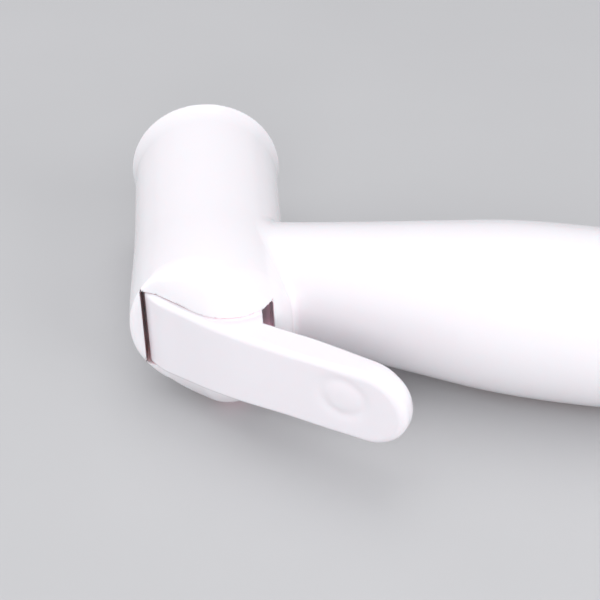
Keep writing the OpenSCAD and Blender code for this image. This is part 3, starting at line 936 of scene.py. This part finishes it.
field_piece("lever_pin", "stainless", pin_field, (
    (PIVOT[0] - 1.9, PIVOT[0] + 1.9, 0.2), (PIVOT[1] - 1.9, PIVOT[1] + 1.9, 0.2),
    (-12.8, 10.8, 0.3)))

# ------------------------------------------------------------------ thread end of the grip
PITCH, THREAD_DEPTH, MAJOR_R = 1.814, 1.162, 10.4775
THREAD_START = 131.0
CHAMFER_LENGTH, CHAMFER_SLOPE = 1.3, 0.95


def thread_radius(rho, along, angle):
    """right-hand rounded Whitworth form on the outer wall past the collar"""
    turn = (along / PITCH - angle / (2 * np.pi)) % 1.0
    wave = np.clip((np.abs(2 * turn - 1) * 2 - 1) * 1.18, -1, 1)
    form = 0.5 + 0.5 * (0.7 * wave + 0.3 * np.sin(wave * np.pi / 2))
    radius = MAJOR_R - THREAD_DEPTH * form * unit((along - THREAD_START) / 1.0)
    past = np.clip(along - (GRIP_LENGTH - CHAMFER_LENGTH), 0, 9)
    radius = np.minimum(radius, MAJOR_R - past * CHAMFER_SLOPE)
    threaded = (along > THREAD_START + 0.05) & (along < GRIP_LENGTH - 0.001) & (rho > 9.0)
    return np.where(threaded, radius, rho)


# outlines: rho, along, corner radius
FITTING_OUTSIDE = round_profile([
    (5, 96, 0.3), (7.5, 96, 0.5), (7.5, 112, 0.25), (9.4, 112, 0.3), (9.4, 118, 0.12),
    (12.1, 118, 0.35), (12.1, 120, 0.15), (10.5, 120, 0.2), (10.5, 121.9, 0.2),
    (12.1, 121.9, 0.15), (12.1, 124, 0.12), (11, 124, 0.1),
    (11, THREAD_START, 0.2), (MAJOR_R, THREAD_START, 0.05)])
# the first and last points only give the corners beside them a direction
FITTING_INSIDE = round_profile([
    (MAJOR_R, 120, 0), (9.15, GRIP_LENGTH, 0.18), (7, GRIP_LENGTH, 0.35), (7, 133, 0.1),
    (6.5, 133, 0.1), (6.5, 112, 0.1), (3, 112, 0.12), (3, 105, 0.2), (5, 105, 0.2),
    (5, 96.0, 0)])[1:-1]
COLLAR = round_profile([
    (11.05, 124, 0.12), (12.15, 124, 0.15), (12.15, 126, 0.05), (14.2, 126, 0.15),
    (14.15, 128.8, 1.5), (13.55, 130.75, 0.9), (12.8, THREAD_START, 0.6),
    (11.05, THREAD_START, 0.15)])

thread_run = np.arange(THREAD_START + 0.1, GRIP_LENGTH, 0.09)
thread_line = np.stack([np.full(len(thread_run), MAJOR_R), thread_run], 1)
fitting = np.concatenate([FITTING_OUTSIDE, thread_line, FITTING_INSIDE])
fitting[:, 1] = np.minimum(fitting[:, 1], GRIP_LENGTH)
lathe_piece("inlet_fitting", fitting, thread_radius)
lathe_piece("end_collar", COLLAR)

STRAINER_R, STRAINER_BACK, STRAINER_FACE, STRAINER_RIM = 6.9, 134.55, 135.1, 135.35
STRAINER_HOLE_R = 0.6
STRAINER_RINGS = [(6 * k, 1.85 * k, 0.0) for k in (1, 2, 3)]


def strainer_field(points):
    along, y, z = points.T
    rho = np.hypot(y, z)
    solid = both(rho - STRAINER_R, span(along, STRAINER_BACK, STRAINER_FACE), roll=0.12)
    rim = both(np.abs(rho - 6.6) - 0.3, span(along, STRAINER_BACK, STRAINER_RIM), roll=0.1)
    solid = either(solid, rim, fillet=0.1)
    hole = np.minimum(rho, nearest_hole(rho, np.arctan2(z, y), STRAINER_RINGS))
    return cut(solid, hole - STRAINER_HOLE_R, roll=0.08)


STRAINER_AXIS = (-7.3, 7.3, 0.17 * GRID_SCALE)
field_piece("inlet_strainer", "stainless", strainer_field,
            ((134.1, 135.8, 0.16), STRAINER_AXIS, STRAINER_AXIS),
            relax=1, last_pulls=2, in_grip=True)

# ------------------------------------------------------------------ springs
RETURN_TOP, RETURN_HEIGHT = 13.98, 9.76     # on the head's y
CHECK_START = THREAD_START - 16.48          # along the grip


def in_head(points):
    x, y, z = points.T
    return head_to_row(np.stack([x, RETURN_TOP - RETURN_HEIGHT + z, -y], 1))


def in_inlet(points):
    x, y, z = points.T
    return grip_to_row(np.stack([CHECK_START + z, y, -x], 1))


spring_piece("return_spring", "plunger_slide", in_head, axis=(-SIN_LEAN, COS_LEAN, 0),
             anchor=tuple(head_to_row(np.array([[0.0, RETURN_TOP, 0.0]]))[0]),
             travel=1.47, height=RETURN_HEIGHT, coil_r=3.6, wire_r=0.42, turns=6)
spring_piece("check_spring", "check_valve_slide", in_inlet, axis=(1, 0, 0),
             anchor=tuple(grip_to_row(np.array([[CHECK_START, 0.0, 0.0]]))[0]),
             travel=2.2, height=11.96, coil_r=2.5, wire_r=0.28, turns=7)

# ------------------------------------------------------------------ floor
FLOOR_HALF = 3
floor_z = min(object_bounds()[0][2], CAD_BOX[0][2])
floor_mesh = bpy.data.meshes.new("floor")
floor_mesh.from_pydata([(FLOOR_HALF * x, FLOOR_HALF * y, floor_z)
                        for x, y in ((-1, -1), (1, -1), (1, 1), (-1, 1))], [], [(0, 1, 2, 3)])
floor = bpy.data.objects.new("floor", floor_mesh)
bpy.context.scene.collection.objects.link(floor)
paper, paper_tree, paper_bsdf = new_material("floor_paper")
paper_cloud = noise(paper_tree, object_coord(paper_tree), scale=12.0, detail=3.0)
set_inputs(paper_tree, paper_bsdf, {
    "Base Color": ramp(paper_tree, paper_cloud,
                       [(0.3, (0.50, 0.503, 0.51)), (0.7, (0.52, 0.523, 0.53))]),
    "Roughness": 0.55})
floor.data.materials.append(paper)

# ------------------------------------------------------------------ light (row frame, metres)
world = bpy.data.worlds.new("studio")
bpy.context.scene.world = world
world.use_nodes = True
background = world.node_tree.nodes["Background"]
background.inputs["Color"].default_value = (0.965, 0.96, 1.0, 1)
background.inputs["Strength"].default_value = 0.6

LIGHT_TARGET = Vector((-0.1, 0.0, 0.0))
# name, place, width, height, watts
AREA_LIGHTS = (
    ("key", (-0.25, 0.15, 0.75), 0.9, 0.7, 2.2),
    ("front", (0.05, -0.75, 0.45), 0.5, 0.4, 2.5),
    ("left", (-0.85, -0.2, 0.22), 0.5, 0.6, 1.6),
    ("right", (0.6, -0.35, 0.38), 0.5, 0.5, 2.5),
)
for name, place, width, height, watts in AREA_LIGHTS:
    light = bpy.data.lights.new(name, "AREA")
    light.shape = "RECTANGLE"
    light.size, light.size_y = width, height
    light.energy = watts
    light.color = (1, 1, 1)
    lamp = bpy.data.objects.new(name, light)
    bpy.context.scene.collection.objects.link(lamp)
    lamp.location = place
    lamp.rotation_euler = (LIGHT_TARGET - Vector(place)).to_track_quat("-Z", "Y").to_euler()

# ------------------------------------------------------------------ camera (head frame, mm)
VIEW_TARGET = np.array([17.73, -11.71, 0.0])
VIEW_DISTANCE = 321.6
YAW, PITCH_UP, ROLL = math.radians(-2.84), math.radians(36.24), math.radians(-1.91)
backward = np.array([math.sin(YAW) * math.cos(PITCH_UP), -math.cos(YAW) * math.cos(PITCH_UP),
                     math.sin(PITCH_UP)])
level_right = np.array([math.cos(YAW), math.sin(YAW), 0.0])
level_up = np.array([-math.sin(YAW) * math.sin(PITCH_UP), math.cos(YAW) * math.sin(PITCH_UP),
                     math.cos(PITCH_UP)])
right = math.cos(ROLL) * level_right + math.sin(ROLL) * level_up
upward = -math.sin(ROLL) * level_right + math.cos(ROLL) * level_up
pose = np.eye(4)
pose[:3, :3] = turn_head(np.stack([right, upward, backward])).T
pose[:3, 3] = head_to_row((VIEW_TARGET + VIEW_DISTANCE * backward)[None])[0]

lens = bpy.data.cameras.new("camera")
lens.sensor_width = 36.0
lens.sensor_fit = "HORIZONTAL"
lens.lens = 96.096
lens.clip_start = 0.01
camera = bpy.data.objects.new("camera", lens)
bpy.context.scene.collection.objects.link(camera)
camera.matrix_world = Matrix(pose.tolist())
bpy.context.scene.camera = camera
bpy.context.scene.view_settings.view_transform = "Standard"
bpy.context.scene.cycles.max_bounces = 8
